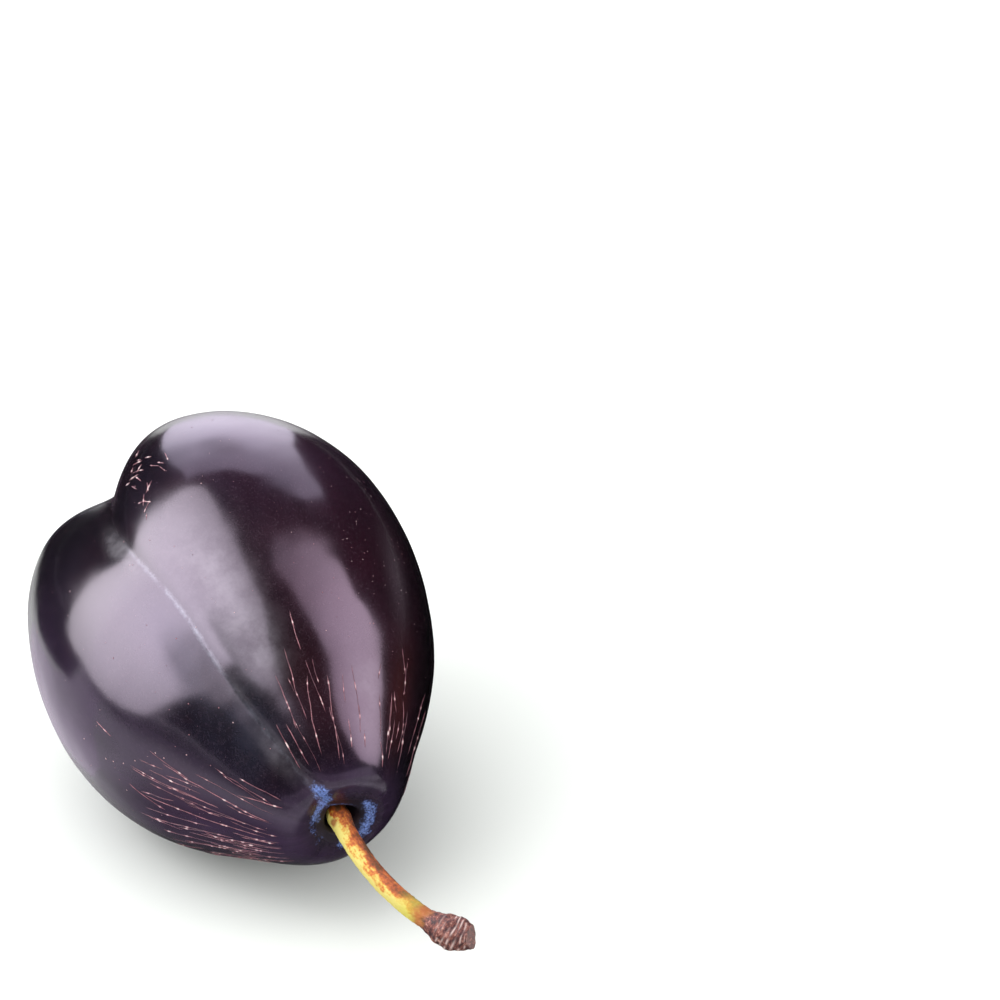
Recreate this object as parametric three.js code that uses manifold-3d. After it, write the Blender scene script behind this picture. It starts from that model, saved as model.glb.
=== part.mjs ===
// A ripe dark plum lying on its side with its stem still on: two grown pieces, the fruit and the stem.
// Millimetres, +Z up. The origin is the middle of the small flat spot that the plum rests on.
//
// Each piece is first made in the plum's growth frame: +Z runs from the blossom end out along the stem,
// +X points at the suture (the long crease down one side) and +Y at the right-hand cheek. A group then
// lays the whole plum down.

import * as THREE from "three";
import { mergeVertices } from "three/addons/utils/BufferGeometryUtils.js";
import Module from "manifold-3d";

const wasm = await Module();
wasm.setup();

// ---- driving dimensions ----

// Overall form: an egg, slimmer at the stem end.
const HALF_LENGTH = 29.9; // centre to either end, before the cavity and the dimple
const HALF_WIDTH = 21.4; // centre to either cheek
const HALF_DEPTH = 19.9; // centre to the suture, and to the back
const EGG_TAPER = 0.175; // share of the girth lost at the stem end and gained at the blossom end
const SHOULDER = { share: 0.078, at: 28, spread: 23 }; // slimmer neck below the stem, degrees from the stem

// The suture is a narrow crease all the way, and a deep cleft too where the cheeks part at the blossom
// end. Its left side is the steeper one. Angles are in degrees from the stem.
const CREASE = { depth: 0.75, atStem: 0.25, left: 1.3, right: 3.8, sharpness: 1.3 };
const CREASE_OPENS = { from: 84, to: 108, left: 1.6, right: 8 }; // the widths that its sides open to
const CLEFT = { depth: 4.5, starts: 84, full: 165, left: 5.8, right: 7.8, sharpness: 1.7 };
const CLEFT_WIDENS = { from: 84, to: 112, left: 3.6 }; // the left width that it starts from
const SWAY = { width: 0.56, at: 90, spread: 50, swings: 4 }; // the suture's slight S
const BEND = { width: 0.75, at: 126, spread: 24 }; // and its turn to the right in the cleft
const LEFT_CHEEK = { rise: 0.65, towards: -75, spread: 50 }; // the two cheeks are not alike
const RIGHT_CHEEK = { rise: -2.1, towards: 75, spread: 50 };

// The ends.
const CAVITY = { depth: 2.6, radius: 4.2, sharpness: 3 }; // the hollow that the stem stands in
const DIMPLE = { depth: 0.8, radius: 4.5 }; // the blossom scar
const SOCKET = { radius: 2.1, floor: 24.1 }; // the plain hole in the cavity that holds the stem's foot

// The stem, along a bent centre line from its foot in the socket to the end of its woody knob.
const STEM_PATH = [
  new THREE.Vector3(0, 0, 24.4),
  new THREE.Vector3(0.2, 1.7, 37.2),
  new THREE.Vector3(-5.2, -2.0, 43.2),
  new THREE.Vector3(-5.5, -3.8, 44.8),
];
const STEM_RADIUS = 1.05;
const KNOB_RADIUS = 1.75;
const KNOB_LENGTH = 5.4;
const KNOB_RINGS = { count: 5, depth: 0.08 }; // transverse scars left by old buds
const FOOT = { rise: 0.18, at: 1.6, spread: 1.2 }; // slight swelling where it leaves the socket

// How it lies.
const STEM_DIP = 11; // degrees that the stem end points below the horizontal
const ROLL = 36; // degrees that the suture leans from the top towards -X
const CENTRE = new THREE.Vector3(1.3, -2.4, 19.6); // growth frame's origin above the flat spot's middle

// Mesh fineness.
const FRUIT_ROUND = 96;
const CROWDING = 0.6; // how much the columns crowd together at the suture, from 0 to 1
const FRUIT_ALONG = 46;
const STEM_ROUND = 14;
const SHANK_STEPS = 18;
const KNOB_STEPS = 24;

// ---- small helpers ----

const { abs, cos, exp, max, min, PI, pow, sin, sqrt } = Math;
const radians = THREE.MathUtils.degToRad;
const degrees = THREE.MathUtils.radToDeg;

// A bell curve: 1 at zero, fading over about `spread`.
const bell = (offset, spread, power = 2) => exp(-pow(abs(offset) / spread, power));

// A smooth step from 0 to 1 as x goes from 0 to 1.
const ramp = (x) => THREE.MathUtils.smoothstep(x, 0, 1);

// The difference between two bearings, in degrees, from -180 to 180.
const turnBetween = (a, b) => THREE.MathUtils.euclideanModulo(a - b + 180, 360) - 180;

// A closed geometry as a manifold-3d solid.
function solidOf(geometry) {
  const bare = geometry.clone();
  bare.deleteAttribute("normal");
  bare.deleteAttribute("uv");
  const merged = mergeVertices(bare, 1e-4);
  return new wasm.Manifold(
    new wasm.Mesh({
      numProp: 3,
      vertProperties: merged.attributes.position.array,
      triVerts: new Uint32Array(merged.index.array),
    }),
  );
}

// A manifold-3d solid as a three.js geometry.
function geometryOf(solid) {
  const mesh = solid.getMesh();
  const geometry = new THREE.BufferGeometry();
  geometry.setAttribute("position", new THREE.BufferAttribute(mesh.vertProperties, 3));
  geometry.setIndex(new THREE.BufferAttribute(mesh.triVerts, 1));
  geometry.computeVertexNormals();
  return geometry;
}

// ---- the fruit ----

const between = (from, to, share) => from + (to - from) * share;

// How far the suture strays to the right of a straight line, at an angle from the stem in degrees.
function sutureSway(fromStem) {
  const swing = sin(radians(SWAY.swings * (fromStem - SWAY.at)));
  const bend = BEND.width * bell(fromStem - BEND.at, BEND.spread);
  return SWAY.width * swing * bell(fromStem - SWAY.at, SWAY.spread) + bend;
}

// How deep the suture is, at an angle from the stem and a distance to the right of its line.
function sutureDepth(fromStem, across) {
  const onLeft = across < 0;
  const opened = ramp((fromStem - CREASE_OPENS.from) / (CREASE_OPENS.to - CREASE_OPENS.from));
  const creaseWidth = onLeft
    ? between(CREASE.left, CREASE_OPENS.left, opened)
    : between(CREASE.right, CREASE_OPENS.right, opened);
  const atStem = CREASE.atStem * (1 - ramp((fromStem - 10) / 40));
  const crease = (atStem + CREASE.depth) * bell(across, creaseWidth, CREASE.sharpness);

  const widened = ramp((fromStem - CLEFT_WIDENS.from) / (CLEFT_WIDENS.to - CLEFT_WIDENS.from));
  const cleftWidth = onLeft ? between(CLEFT_WIDENS.left, CLEFT.left, widened) : CLEFT.right;
  const parted = ramp((fromStem - CLEFT.starts) / (CLEFT.full - CLEFT.starts));
  const cleft = CLEFT.depth * parted * bell(across, cleftWidth, CLEFT.sharpness);

  const easedAtBlossomEnd = 1 - 0.6 * ramp((fromStem - 168) / 12);
  return (crease + cleft) * easedAtBlossomEnd;
}

// Distance from the fruit's centre to its skin. theta is the angle from the stem and phi the bearing
// round the axis from the suture, both in radians.
function skinRadius(theta, phi) {
  const fromStem = degrees(theta);
  const bearing = degrees(phi);
  const girth = 1 - EGG_TAPER * cos(theta);
  let radius =
    1 /
    sqrt(
      pow(cos(theta) / HALF_LENGTH, 2) +
        pow((sin(theta) * cos(phi)) / (HALF_DEPTH * girth), 2) +
        pow((sin(theta) * sin(phi)) / (HALF_WIDTH * girth), 2),
    );
  radius *= 1 - SHOULDER.share * bell(fromStem - SHOULDER.at, SHOULDER.spread);

  // The suture runs down the +X side only, so it fades in from the axis.
  const acrossSuture = radius * sin(theta) * sin(phi) - sutureSway(fromStem);
  const onSutureSide = ramp((radius * sin(theta) * cos(phi) + 2.5) / 5);
  const groove = sutureDepth(fromStem, acrossSuture) * onSutureSide;

  const blossomHalf = ramp((fromStem - 70) / 70) * sin(theta);
  let cheeks = 0;
  for (const cheek of [LEFT_CHEEK, RIGHT_CHEEK]) {
    cheeks += cheek.rise * bell(turnBetween(bearing, cheek.towards), cheek.spread) * blossomHalf;
  }

  const fromAxis = radius * sin(theta);
  const atStemEnd = cos(theta) > 0;
  const hollow = atStemEnd
    ? CAVITY.depth * bell(fromAxis, CAVITY.radius, CAVITY.sharpness)
    : DIMPLE.depth * bell(fromAxis, DIMPLE.radius);
  return radius - groove + cheeks - hollow;
}

// A unit sphere whose points are pushed out to the skin. Its columns crowd together at the suture, so
// that the crease is drawn well with few faces.
function fruitBody() {
  const geometry = new THREE.SphereGeometry(1, FRUIT_ROUND, FRUIT_ALONG);
  const { position, uv } = geometry.attributes;
  for (let i = 0; i < position.count; i += 1) {
    const s = 2 * uv.getX(i) - 1;
    const phi = PI * between(s, pow(s, 3), CROWDING);
    const theta = PI * (1 - uv.getY(i));
    const radius = skinRadius(theta, phi);
    position.setXYZ(
      i,
      radius * sin(theta) * cos(phi),
      radius * sin(theta) * sin(phi),
      radius * cos(theta),
    );
  }
  return geometry;
}

// The round hole that the stem's foot stands in.
function socketTool() {
  const height = 6;
  const tool = new THREE.CylinderGeometry(SOCKET.radius, SOCKET.radius, height, 20);
  tool.rotateX(PI / 2);
  tool.translate(0, 0, SOCKET.floor + height / 2);
  return tool;
}

// Everything below the table top, turned into the growth frame.
function tableTool(lying) {
  const side = 80;
  const tool = new THREE.BoxGeometry(side, side, side);
  tool.translate(0, 0, -side / 2);
  return tool.applyMatrix4(lying.clone().invert());
}

function fruitGeometry(lying) {
  const solid = solidOf(fruitBody())
    .subtract(solidOf(socketTool()))
    .subtract(solidOf(tableTool(lying)));
  return geometryOf(solid);
}

// ---- the stem ----

// The stem's radius at a distance from its foot and a bearing round it.
function stemRadius(along, length, bearing) {
  const toEnd = length - along;
  const foot = FOOT.rise * bell(along - FOOT.at, FOOT.spread);
  const knobRise = ramp((KNOB_LENGTH - toEnd) / (0.55 * KNOB_LENGTH));
  const roundedEnd = 0.7 * (1 - ramp(toEnd / (0.36 * KNOB_LENGTH)));
  const plain = STEM_RADIUS + foot + (KNOB_RADIUS - STEM_RADIUS) * knobRise - roundedEnd;
  const rings = KNOB_RINGS.depth * cos((2 * PI * KNOB_RINGS.count * toEnd) / KNOB_LENGTH);
  const facets = 0.1 * cos(3 * bearing + 0.5 * toEnd); // the knob is roughly three-sided
  return plain + knobRise * (rings + facets);
}

// A straight turned stem, bent along its path.
function stemGeometry() {
  const path = new THREE.CubicBezierCurve3(...STEM_PATH);
  const length = path.getLength();
  const shank = length - KNOB_LENGTH;
  const profile = [new THREE.Vector2(0, 0)];
  for (let i = 0; i < SHANK_STEPS; i += 1) {
    profile.push(new THREE.Vector2(1, (shank * i) / SHANK_STEPS));
  }
  for (let i = 0; i <= KNOB_STEPS; i += 1) {
    profile.push(new THREE.Vector2(1, shank + (KNOB_LENGTH * i) / KNOB_STEPS));
  }
  profile.push(new THREE.Vector2(0, length));
  const geometry = new THREE.LatheGeometry(profile, STEM_ROUND);
  const { position } = geometry.attributes;
  const side = new THREE.Vector3();
  const front = new THREE.Vector3();
  for (let i = 0; i < position.count; i += 1) {
    const along = max(0, min(length, position.getY(i)));
    const x = position.getX(i);
    const z = position.getZ(i);
    const fromAxis = sqrt(x * x + z * z);
    const bearing = Math.atan2(x, z);
    const radius = fromAxis < 0.5 ? 0 : stemRadius(along, length, bearing);
    const centre = path.getPointAt(along / length);
    const tangent = path.getTangentAt(along / length);
    side.crossVectors(new THREE.Vector3(0, 1, 0), tangent).normalize();
    front.crossVectors(side, tangent);
    position.setXYZ(
      i,
      centre.x + radius * (sin(bearing) * side.x + cos(bearing) * front.x),
      centre.y + radius * (sin(bearing) * side.y + cos(bearing) * front.y),
      centre.z + radius * (sin(bearing) * side.z + cos(bearing) * front.z),
    );
  }
  return geometryOf(solidOf(geometry));
}

// ---- the plum ----

const skin = new THREE.MeshStandardMaterial({ color: "#2b1c2b", roughness: 0.3, metalness: 0 });
const bark = new THREE.MeshStandardMaterial({ color: "#b79a4a", roughness: 0.7, metalness: 0 });

const plum = new THREE.Group();
plum.rotation.set(radians(90 + STEM_DIP), 0, radians(90 + ROLL));
plum.position.copy(CENTRE);
plum.updateMatrix();

const fruit = new THREE.Mesh(fruitGeometry(plum.matrix), skin);
fruit.name = "fruit";
plum.add(fruit);

const stem = new THREE.Mesh(stemGeometry(), bark);
stem.name = "stem";
plum.add(stem);

const group = new THREE.Group();
group.add(plum);

export default group;
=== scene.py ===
# %% [markdown]
# A ripe dark plum, lying on its side with its stem still on.
#
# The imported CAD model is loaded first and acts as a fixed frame: two solids, the fruit and the stem, at
# their real size in metres. This script grows a finer skin and a finer stem exactly where those solids
# are, gives both the finish of the real thing, and lights them on a pale table top.

# %% Load the frame
import math

import bpy
import numpy as np
from mathutils import Matrix, Vector


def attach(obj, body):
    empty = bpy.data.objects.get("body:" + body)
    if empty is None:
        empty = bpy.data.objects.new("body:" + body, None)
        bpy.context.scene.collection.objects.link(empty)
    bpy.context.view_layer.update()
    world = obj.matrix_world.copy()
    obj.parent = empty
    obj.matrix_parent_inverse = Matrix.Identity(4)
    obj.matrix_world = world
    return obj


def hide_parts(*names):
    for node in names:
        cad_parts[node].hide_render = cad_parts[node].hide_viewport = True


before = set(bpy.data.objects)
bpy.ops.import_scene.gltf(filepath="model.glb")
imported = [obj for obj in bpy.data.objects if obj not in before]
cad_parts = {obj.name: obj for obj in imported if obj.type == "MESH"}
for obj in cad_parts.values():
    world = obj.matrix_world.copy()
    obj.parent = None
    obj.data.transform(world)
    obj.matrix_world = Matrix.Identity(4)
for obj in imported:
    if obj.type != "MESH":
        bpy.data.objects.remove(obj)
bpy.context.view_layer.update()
MM = 0.001

# %% [markdown]
# Colours are written as the sRGB hex values that a paint picker shows. Blender's sockets want linear
# light, so one function turns every hex value to linear. A second small function adds a shader node with
# its settings and its links, so that each material below reads from top to bottom like a recipe. A third
# puts an empty material on the pieces that are to have it.

# %% Colour and node helpers


def linear(hex_colour):
    """An sRGB hex colour, such as "#2b1c2b", as linear red, green, blue and alpha."""
    channels = [int(hex_colour[i : i + 2], 16) / 255 for i in (1, 3, 5)]
    return [c / 12.92 if c <= 0.04045 else ((c + 0.055) / 1.055) ** 2.4 for c in channels] + [1.0]


def add_node(tree, kind, links=None, **settings):
    """Adds a shader node. links maps an input to a value, another node or one of its outputs."""
    node = tree.nodes.new(kind)
    for name, value in settings.items():
        setattr(node, name, value)
    for socket, value in (links or {}).items():
        if isinstance(value, bpy.types.Node):
            value = next(output for output in value.outputs if output.enabled)
        if isinstance(value, bpy.types.NodeSocket):
            tree.links.new(value, node.inputs[socket])
        else:
            node.inputs[socket].default_value = value
    return node


def new_material(name, *pieces):
    """Gives the pieces an empty material, and hands back its node tree, ready for add_node."""
    material = bpy.data.materials.new(name)
    material.use_nodes = True
    material.node_tree.nodes.clear()
    for piece in pieces:
        piece.data.materials.append(material)
    return material.node_tree


print("mid grey in linear light:", round(linear("#808080")[0], 3))

# %% [markdown]
# The fruit's form is one formula: the distance from its centre to its skin in every direction. It starts
# as an egg that is slimmer at the stem end. Then it takes off a little below the stem for the shoulder,
# a narrow crease for the suture, a wide cleft where the suture meets the blossom end, and the hollow
# that the stem grows from. A formula suits a fruit better than points pushed about by hand: the same
# numbers make the CAD solid and this finer skin, so the two can't drift apart.
#
# The growth frame has +Z along the stem, +X at the suture and +Y at the right cheek, for a plum held
# stem up. "from_stem" is an angle, 0 at the stem and 180 at the blossom scar, and "bearing" is the
# angle round the stem, 0 on the suture. Both are in degrees, and lengths are in millimetres.

# %% The soft shapes that the formula adds up


def bell(offset, spread, power=2.0):
    """1 at zero, fading away over about spread."""
    return np.exp(-((np.abs(offset) / spread) ** power))


def ramp(x):
    """A smooth step from 0 to 1 as x goes from 0 to 1."""
    x = np.clip(x, 0, 1)
    return x * x * (3 - 2 * x)


def turn_between(a, b):
    """The difference between two bearings, from -180 to 180 degrees."""
    return (a - b + 180) % 360 - 180


print("a bell falls to", round(float(bell(1.0, 1.0)), 2), "of its height over its spread")

# %% [markdown]
# The plain body is an ellipsoid whose girth grows from the stem to the blossom end. A bell taken off
# round the stem end makes the shoulder.

# %% The egg
HALF_LENGTH = 29.9
HALF_WIDTH = 21.4
HALF_DEPTH = 19.9
EGG_TAPER = 0.175
SHOULDER = {"share": 0.078, "at": 28, "spread": 23}


def egg_radius(from_stem, bearing):
    """The plain egg with its shoulder."""
    theta, phi = np.radians(from_stem), np.radians(bearing)
    girth = 1 - EGG_TAPER * np.cos(theta)
    towards_suture = np.sin(theta) * np.cos(phi) / (HALF_DEPTH * girth)
    towards_cheek = np.sin(theta) * np.sin(phi) / (HALF_WIDTH * girth)
    radius = 1 / np.sqrt((np.cos(theta) / HALF_LENGTH) ** 2 + towards_suture**2 + towards_cheek**2)
    return radius * (1 - SHOULDER["share"] * bell(from_stem - SHOULDER["at"], SHOULDER["spread"]))


print("egg's length, mm:", round(float(egg_radius(0.0, 0.0) + egg_radius(180.0, 0.0)), 1))

# %% [markdown]
# The suture is the seam where the fruit's one folded leaf closed. It sways a little from side to side. It
# is a narrow crease near the stem, steeper on its left, and opens into a wide cleft towards the blossom
# end. Its line stays on one side of the fruit only.

# %% The suture
CREASE = {"at_stem": 0.25, "depth": 0.75, "left": 1.3, "right": 3.8, "sharpness": 1.3}
CREASE_OPENS = {"from": 84, "to": 108, "left": 1.6, "right": 8.0}
CLEFT = {"depth": 4.5, "starts": 84, "full": 165, "left": 5.8, "right": 7.8, "sharpness": 1.7}
CLEFT_WIDENS = {"from": 84, "to": 112, "left": 3.6}
SWAY = {"width": 0.56, "at": 90, "spread": 50, "swings": 4}
BEND = {"width": 0.75, "at": 126, "spread": 24}
STEM_FADE = {"from": 10, "over": 40}
BLOSSOM_FADE = {"share": 0.6, "from": 168, "over": 12}
ENDS_BEHIND, ENDS_OVER = 2.5, 5


def suture_sway(from_stem):
    """How far the suture strays to the right of a straight line, in millimetres."""
    swing = np.sin(np.radians(SWAY["swings"] * (from_stem - SWAY["at"])))
    bend = BEND["width"] * bell(from_stem - BEND["at"], BEND["spread"])
    return SWAY["width"] * swing * bell(from_stem - SWAY["at"], SWAY["spread"]) + bend


def suture_groove(from_stem, across, towards_suture):
    """The depth of the suture, where across is the distance to the right of its line."""
    on_its_side = ramp((towards_suture + ENDS_BEHIND) / ENDS_OVER)
    past_crease = ramp((from_stem - BLOSSOM_FADE["from"]) / BLOSSOM_FADE["over"])
    blossom_fade = 1 - BLOSSOM_FADE["share"] * past_crease
    near_stem = CREASE["at_stem"] * (1 - ramp((from_stem - STEM_FADE["from"]) / STEM_FADE["over"]))
    opened = ramp((from_stem - CREASE_OPENS["from"]) / (CREASE_OPENS["to"] - CREASE_OPENS["from"]))
    crease_left = CREASE["left"] + (CREASE_OPENS["left"] - CREASE["left"]) * opened
    crease_right = CREASE["right"] + (CREASE_OPENS["right"] - CREASE["right"]) * opened
    crease_width = np.where(across < 0, crease_left, crease_right)
    crease = (near_stem + CREASE["depth"]) * bell(across, crease_width, CREASE["sharpness"])
    widening = ramp((from_stem - CLEFT_WIDENS["from"]) / (CLEFT_WIDENS["to"] - CLEFT_WIDENS["from"]))
    cleft_left = CLEFT_WIDENS["left"] + (CLEFT["left"] - CLEFT_WIDENS["left"]) * widening
    cleft_width = np.where(across < 0, cleft_left, CLEFT["right"])
    opening = ramp((from_stem - CLEFT["starts"]) / (CLEFT["full"] - CLEFT["starts"]))
    cleft = CLEFT["depth"] * opening * bell(across, cleft_width, CLEFT["sharpness"])
    return (crease + cleft) * blossom_fade * on_its_side


suture_depth = float(suture_groove(130.0, 0.0, 15.0))
print("suture's depth at 130 degrees from the stem, mm:", round(suture_depth, 2))

# %% [markdown]
# The whole skin is the egg, less the suture, with one cheek fuller than the other at the blossom end. The
# hollow round the stem and the dimple at the blossom scar are taken off last.

# %% The whole skin
LEFT_CHEEK = {"rise": 0.65, "towards": -75, "spread": 50}
RIGHT_CHEEK = {"rise": -2.1, "towards": 75, "spread": 50}
CHEEKS_FROM, CHEEKS_OVER = 70, 70
CAVITY = {"depth": 2.6, "radius": 4.2, "sharpness": 3}
DIMPLE = {"depth": 0.8, "radius": 4.5}


def skin_radius(from_stem, bearing):
    """Millimetres from the fruit's centre to its skin."""
    theta, phi = np.radians(from_stem), np.radians(bearing)
    radius = egg_radius(from_stem, bearing)
    from_axis = radius * np.sin(theta)
    across = from_axis * np.sin(phi) - suture_sway(from_stem)
    groove = suture_groove(from_stem, across, from_axis * np.cos(phi))
    blossom_half = ramp((from_stem - CHEEKS_FROM) / CHEEKS_OVER) * np.sin(theta)
    cheeks = sum(
        cheek["rise"] * bell(turn_between(bearing, cheek["towards"]), cheek["spread"])
        for cheek in (LEFT_CHEEK, RIGHT_CHEEK)
    )
    cavity = CAVITY["depth"] * bell(from_axis, CAVITY["radius"], CAVITY["sharpness"]) * (from_stem < 90)
    dimple = DIMPLE["depth"] * bell(from_axis, DIMPLE["radius"]) * (from_stem > 90)
    return radius - groove + cheeks * blossom_half - cavity - dimple


print("skin at the middle of the back, mm from the centre:", round(float(skin_radius(90.0, 180.0)), 2))

# %% [markdown]
# A plum rolls until its weight is over the spot that it lies on. This one lies with its stem end a little
# down and its suture turned up and to the left. Two turns and a shift take the growth frame to the
# part's own frame, whose origin is the middle of the flat spot underneath.

# %% How the plum lies
STEM_DIP = 11
ROLL = 36
CENTRE = Vector((1.3, -2.4, 19.6)) * MM
dip_turn = Matrix.Rotation(math.radians(90 + STEM_DIP), 3, "X")
lying = dip_turn @ Matrix.Rotation(math.radians(90 + ROLL), 3, "Z")
lying_turn = np.array(lying)


def laid_down(grown):
    """Points of the growth frame, in millimetres, as points of the part's frame, in metres."""
    return grown @ lying_turn.T * MM + np.array(CENTRE)


def spread_out(radius, from_stem, bearing):
    """Points of the growth frame at these distances and angles."""
    theta, phi = np.radians(from_stem), np.radians(bearing)
    flat = radius * np.sin(theta)
    return np.stack([flat * np.cos(phi), flat * np.sin(phi), radius * np.cos(theta) + 0 * phi], axis=-1)


print("the stem points towards", [round(v, 2) for v in lying @ Vector((0, 0, 1))])

# %% [markdown]
# The camera comes before the finish, so that every later choice can be judged in the frame. A long lens
# far away keeps the fruit's outline calm. The plum lies low and to the left in the frame.

# %% Camera
CAMERA_AZIMUTH, CAMERA_ELEVATION = -25.6, 30
CAMERA_DISTANCE = 0.5743
AXIS_RIGHT_OF_PLUM, AXIS_ABOVE_PLUM = 27.46 * MM, 16.86 * MM
SENSOR_WIDTH, LENS = 36.0, 194.4


def direction(azimuth, elevation):
    """A unit vector: azimuth 0 is towards -Y and 90 towards +X, in degrees."""
    a, e = math.radians(azimuth), math.radians(elevation)
    return Vector((math.sin(a) * math.cos(e), -math.cos(a) * math.cos(e), math.sin(e)))


def facing_axes(azimuth, elevation):
    """Outwards, sideways and upwards, for something that faces the plum from this direction."""
    outwards = direction(azimuth, elevation)
    sideways = direction(azimuth + 90, 0)
    return outwards, sideways, outwards.cross(sideways)


def add_facing_plum(name, data, azimuth, elevation, distance, right=0.0, above=0.0):
    """Adds a camera or a lamp that looks towards the plum, shifted to the right and up."""
    outwards, sideways, upwards = facing_axes(azimuth, elevation)
    thing = bpy.data.objects.new(name, data)
    thing.location = CENTRE + outwards * distance + sideways * right + upwards * above
    thing.rotation_mode = "QUATERNION"
    thing.rotation_quaternion = Matrix((sideways, upwards, outwards)).transposed().to_quaternion()
    bpy.context.scene.collection.objects.link(thing)
    return thing


camera_data = bpy.data.cameras.new("camera")
camera_data.sensor_width = SENSOR_WIDTH
camera_data.lens = LENS
camera_data.clip_start, camera_data.clip_end = 0.05, 20
camera = add_facing_plum(
    "camera", camera_data, CAMERA_AZIMUTH, CAMERA_ELEVATION, CAMERA_DISTANCE, AXIS_RIGHT_OF_PLUM,
    AXIS_ABOVE_PLUM,
)
bpy.context.scene.camera = camera
bpy.context.scene.view_settings.view_transform = "Standard"
print("camera at, mm:", [round(v / MM) for v in camera.location])

# %% [markdown]
# A plain pale table top: a large matt sheet. It is lit until it renders white, which is how a white
# sweep is exposed in a studio, so only the shadow under the fruit falls below white.

# %% Table top
TABLE_HALF_SIZE = 3.0
TABLE_HEIGHT = -0.05 * MM


def flat_polygon(name, corners):
    """One flat face through these corners."""
    mesh = bpy.data.meshes.new(name)
    mesh.from_pydata([tuple(corner) for corner in corners], [], [tuple(range(len(corners)))])
    sheet = bpy.data.objects.new(name, mesh)
    bpy.context.scene.collection.objects.link(sheet)
    return sheet


square = ((-1, -1), (1, -1), (1, 1), (-1, 1))
table_top = flat_polygon(
    "table_top", [(x * TABLE_HALF_SIZE, y * TABLE_HALF_SIZE, TABLE_HEIGHT) for x, y in square]
)
tree = new_material("matt_white_card", table_top)
white = add_node(tree, "ShaderNodeBsdfDiffuse", {"Color": linear("#ecefec"), "Roughness": 0.5})
add_node(tree, "ShaderNodeOutputMaterial", {"Surface": white})
print("table top, metres across:", 2 * TABLE_HALF_SIZE)

# %% [markdown]
# Glossy skin shows the lamps themselves, as pale patches bent by its curves. So each softbox is a
# glowing panel, drawn by the corners of its front: how far sideways and up they are from the line to
# the plum, as shares of the panel's distance. The fourth panel is a dim one that stands in for the pale
# wall of the room, low in front. The panels are seen by gloss alone. That lets their brightness set the
# patches, while separate lamps below light the matt things.

# %% Softboxes that the gloss shows


def only_in_gloss(card):
    """Hides a panel or a card from everything but reflections."""
    for ray in ("camera", "diffuse", "transmission", "volume_scatter", "shadow"):
        setattr(card, "visible_" + ray, False)


def softbox(name, azimuth, elevation, distance, corners, hot_spot, radiance, tint, dim_spot):
    """A glowing panel that faces the plum, brightest at its hot spot.

    corners and hot_spot are (sideways, up) shares of the distance, and a third share is how far the hot
    spot reaches. radiance is the hot spot's, and then the edge's. dim_spot is a place, a reach and the
    share of the light that a crease in the cloth takes away there.
    """
    outwards, sideways, upwards = facing_axes(azimuth, elevation)

    def on_panel(s, u):
        return CENTRE + (outwards + sideways * s + upwards * u) * distance

    panel = flat_polygon(name, [on_panel(s, u) for s, u in corners])
    only_in_gloss(panel)
    tree = new_material(name + "_glow", panel)
    place = add_node(tree, "ShaderNodeNewGeometry")
    strength = 1.0
    for spot, reach, at_spot, beyond in (
        (hot_spot[:2], hot_spot[2], *radiance),
        (dim_spot[:2], dim_spot[2], 1 - dim_spot[3], 1.0),
    ):
        away = add_node(
            tree, "ShaderNodeVectorMath", {0: place, 1: on_panel(*spot)}, operation="DISTANCE"
        )
        reached = {"From Min": 0.0, "From Max": reach * distance, "To Min": at_spot, "To Max": beyond}
        fading = add_node(
            tree, "ShaderNodeMapRange", {"Value": away, **reached}, interpolation_type="SMOOTHERSTEP"
        )
        strength = add_node(tree, "ShaderNodeMath", {0: strength, 1: fading}, operation="MULTIPLY")
    emission = add_node(tree, "ShaderNodeEmission", {"Color": linear(tint), "Strength": strength})
    add_node(tree, "ShaderNodeOutputMaterial", {"Surface": emission})
    print(name, "has its middle", round(distance / MM), "mm away")


softbox(
    "left_softbox", -95, 38, 0.10,
    [
        (-0.7, 1.14), (0.62, 1.24), (1.08, 0.97), (1.04, 0.62), (0.84, 0.2), (0.66, -0.1),
        (0.5, -0.42), (0.36, -0.72), (0.1, -0.88), (-0.1, -0.96), (-1.0, -0.9), (-0.94, -0.6),
        (-0.86, -0.15), (-0.76, 0.4),
    ],
    (-0.12, 0.12, 1.45), (12.6, 4.6), "#fefbfb", (0.56, 0.18, 0.5, 0.48),
)
softbox(
    "right_softbox", 64, 42, 0.60,
    [
        (0.0, 0.8), (0.18, 0.66), (0.36, 0.35), (0.4, 0.1), (0.23, -0.08), (0.2, -0.5), (0.19, -0.76),
        (-0.07, -0.76), (-0.3, -0.5), (-0.4, -0.3), (-0.38, 0.0), (-0.32, 0.3), (-0.16, 0.48),
    ],
    (0.05, -0.2, 0.9), (7.2, 2.6), "#ffebf5", (0.08, -0.8, 0.24, 0.8),
)
softbox(
    "back_softbox", 155, 22, 0.60,
    [
        (-0.58, 0.62), (0.48, 0.7), (0.52, 0.24), (0.46, -0.05), (0.34, -0.28), (0.2, -0.5), (-0.1, -0.6),
        (-0.28, 0.0), (-0.46, 0.2), (-0.64, 0.34),
    ],
    (0.08, 0.05, 0.6), (4.9, 2.7), "#f0e9fb", (0.05, 0.29, 0.24, 0.4),
)
softbox(
    "front_wall", 6, 7, 0.60,
    [(-1.15, -0.15), (1.1, -0.15), (0.96, 0.14), (0.6, 0.2), (-0.6, 0.2), (-1.15, 0.12)],
    (0.55, 0.02, 0.9), (1.2, 0.6), "#f9e8fd", (1.15, -0.05, 0.42, 0.6),
)

# %% [markdown]
# Three black cards lie on the table: to the right of the plum, behind it and on its left. They are seen
# by gloss alone too, and they give the fruit its thin dark outline at the top and its dark right flank.
# Studios use black cards in the same way, to keep the edges of glossy things from melting into a white
# background.

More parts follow.
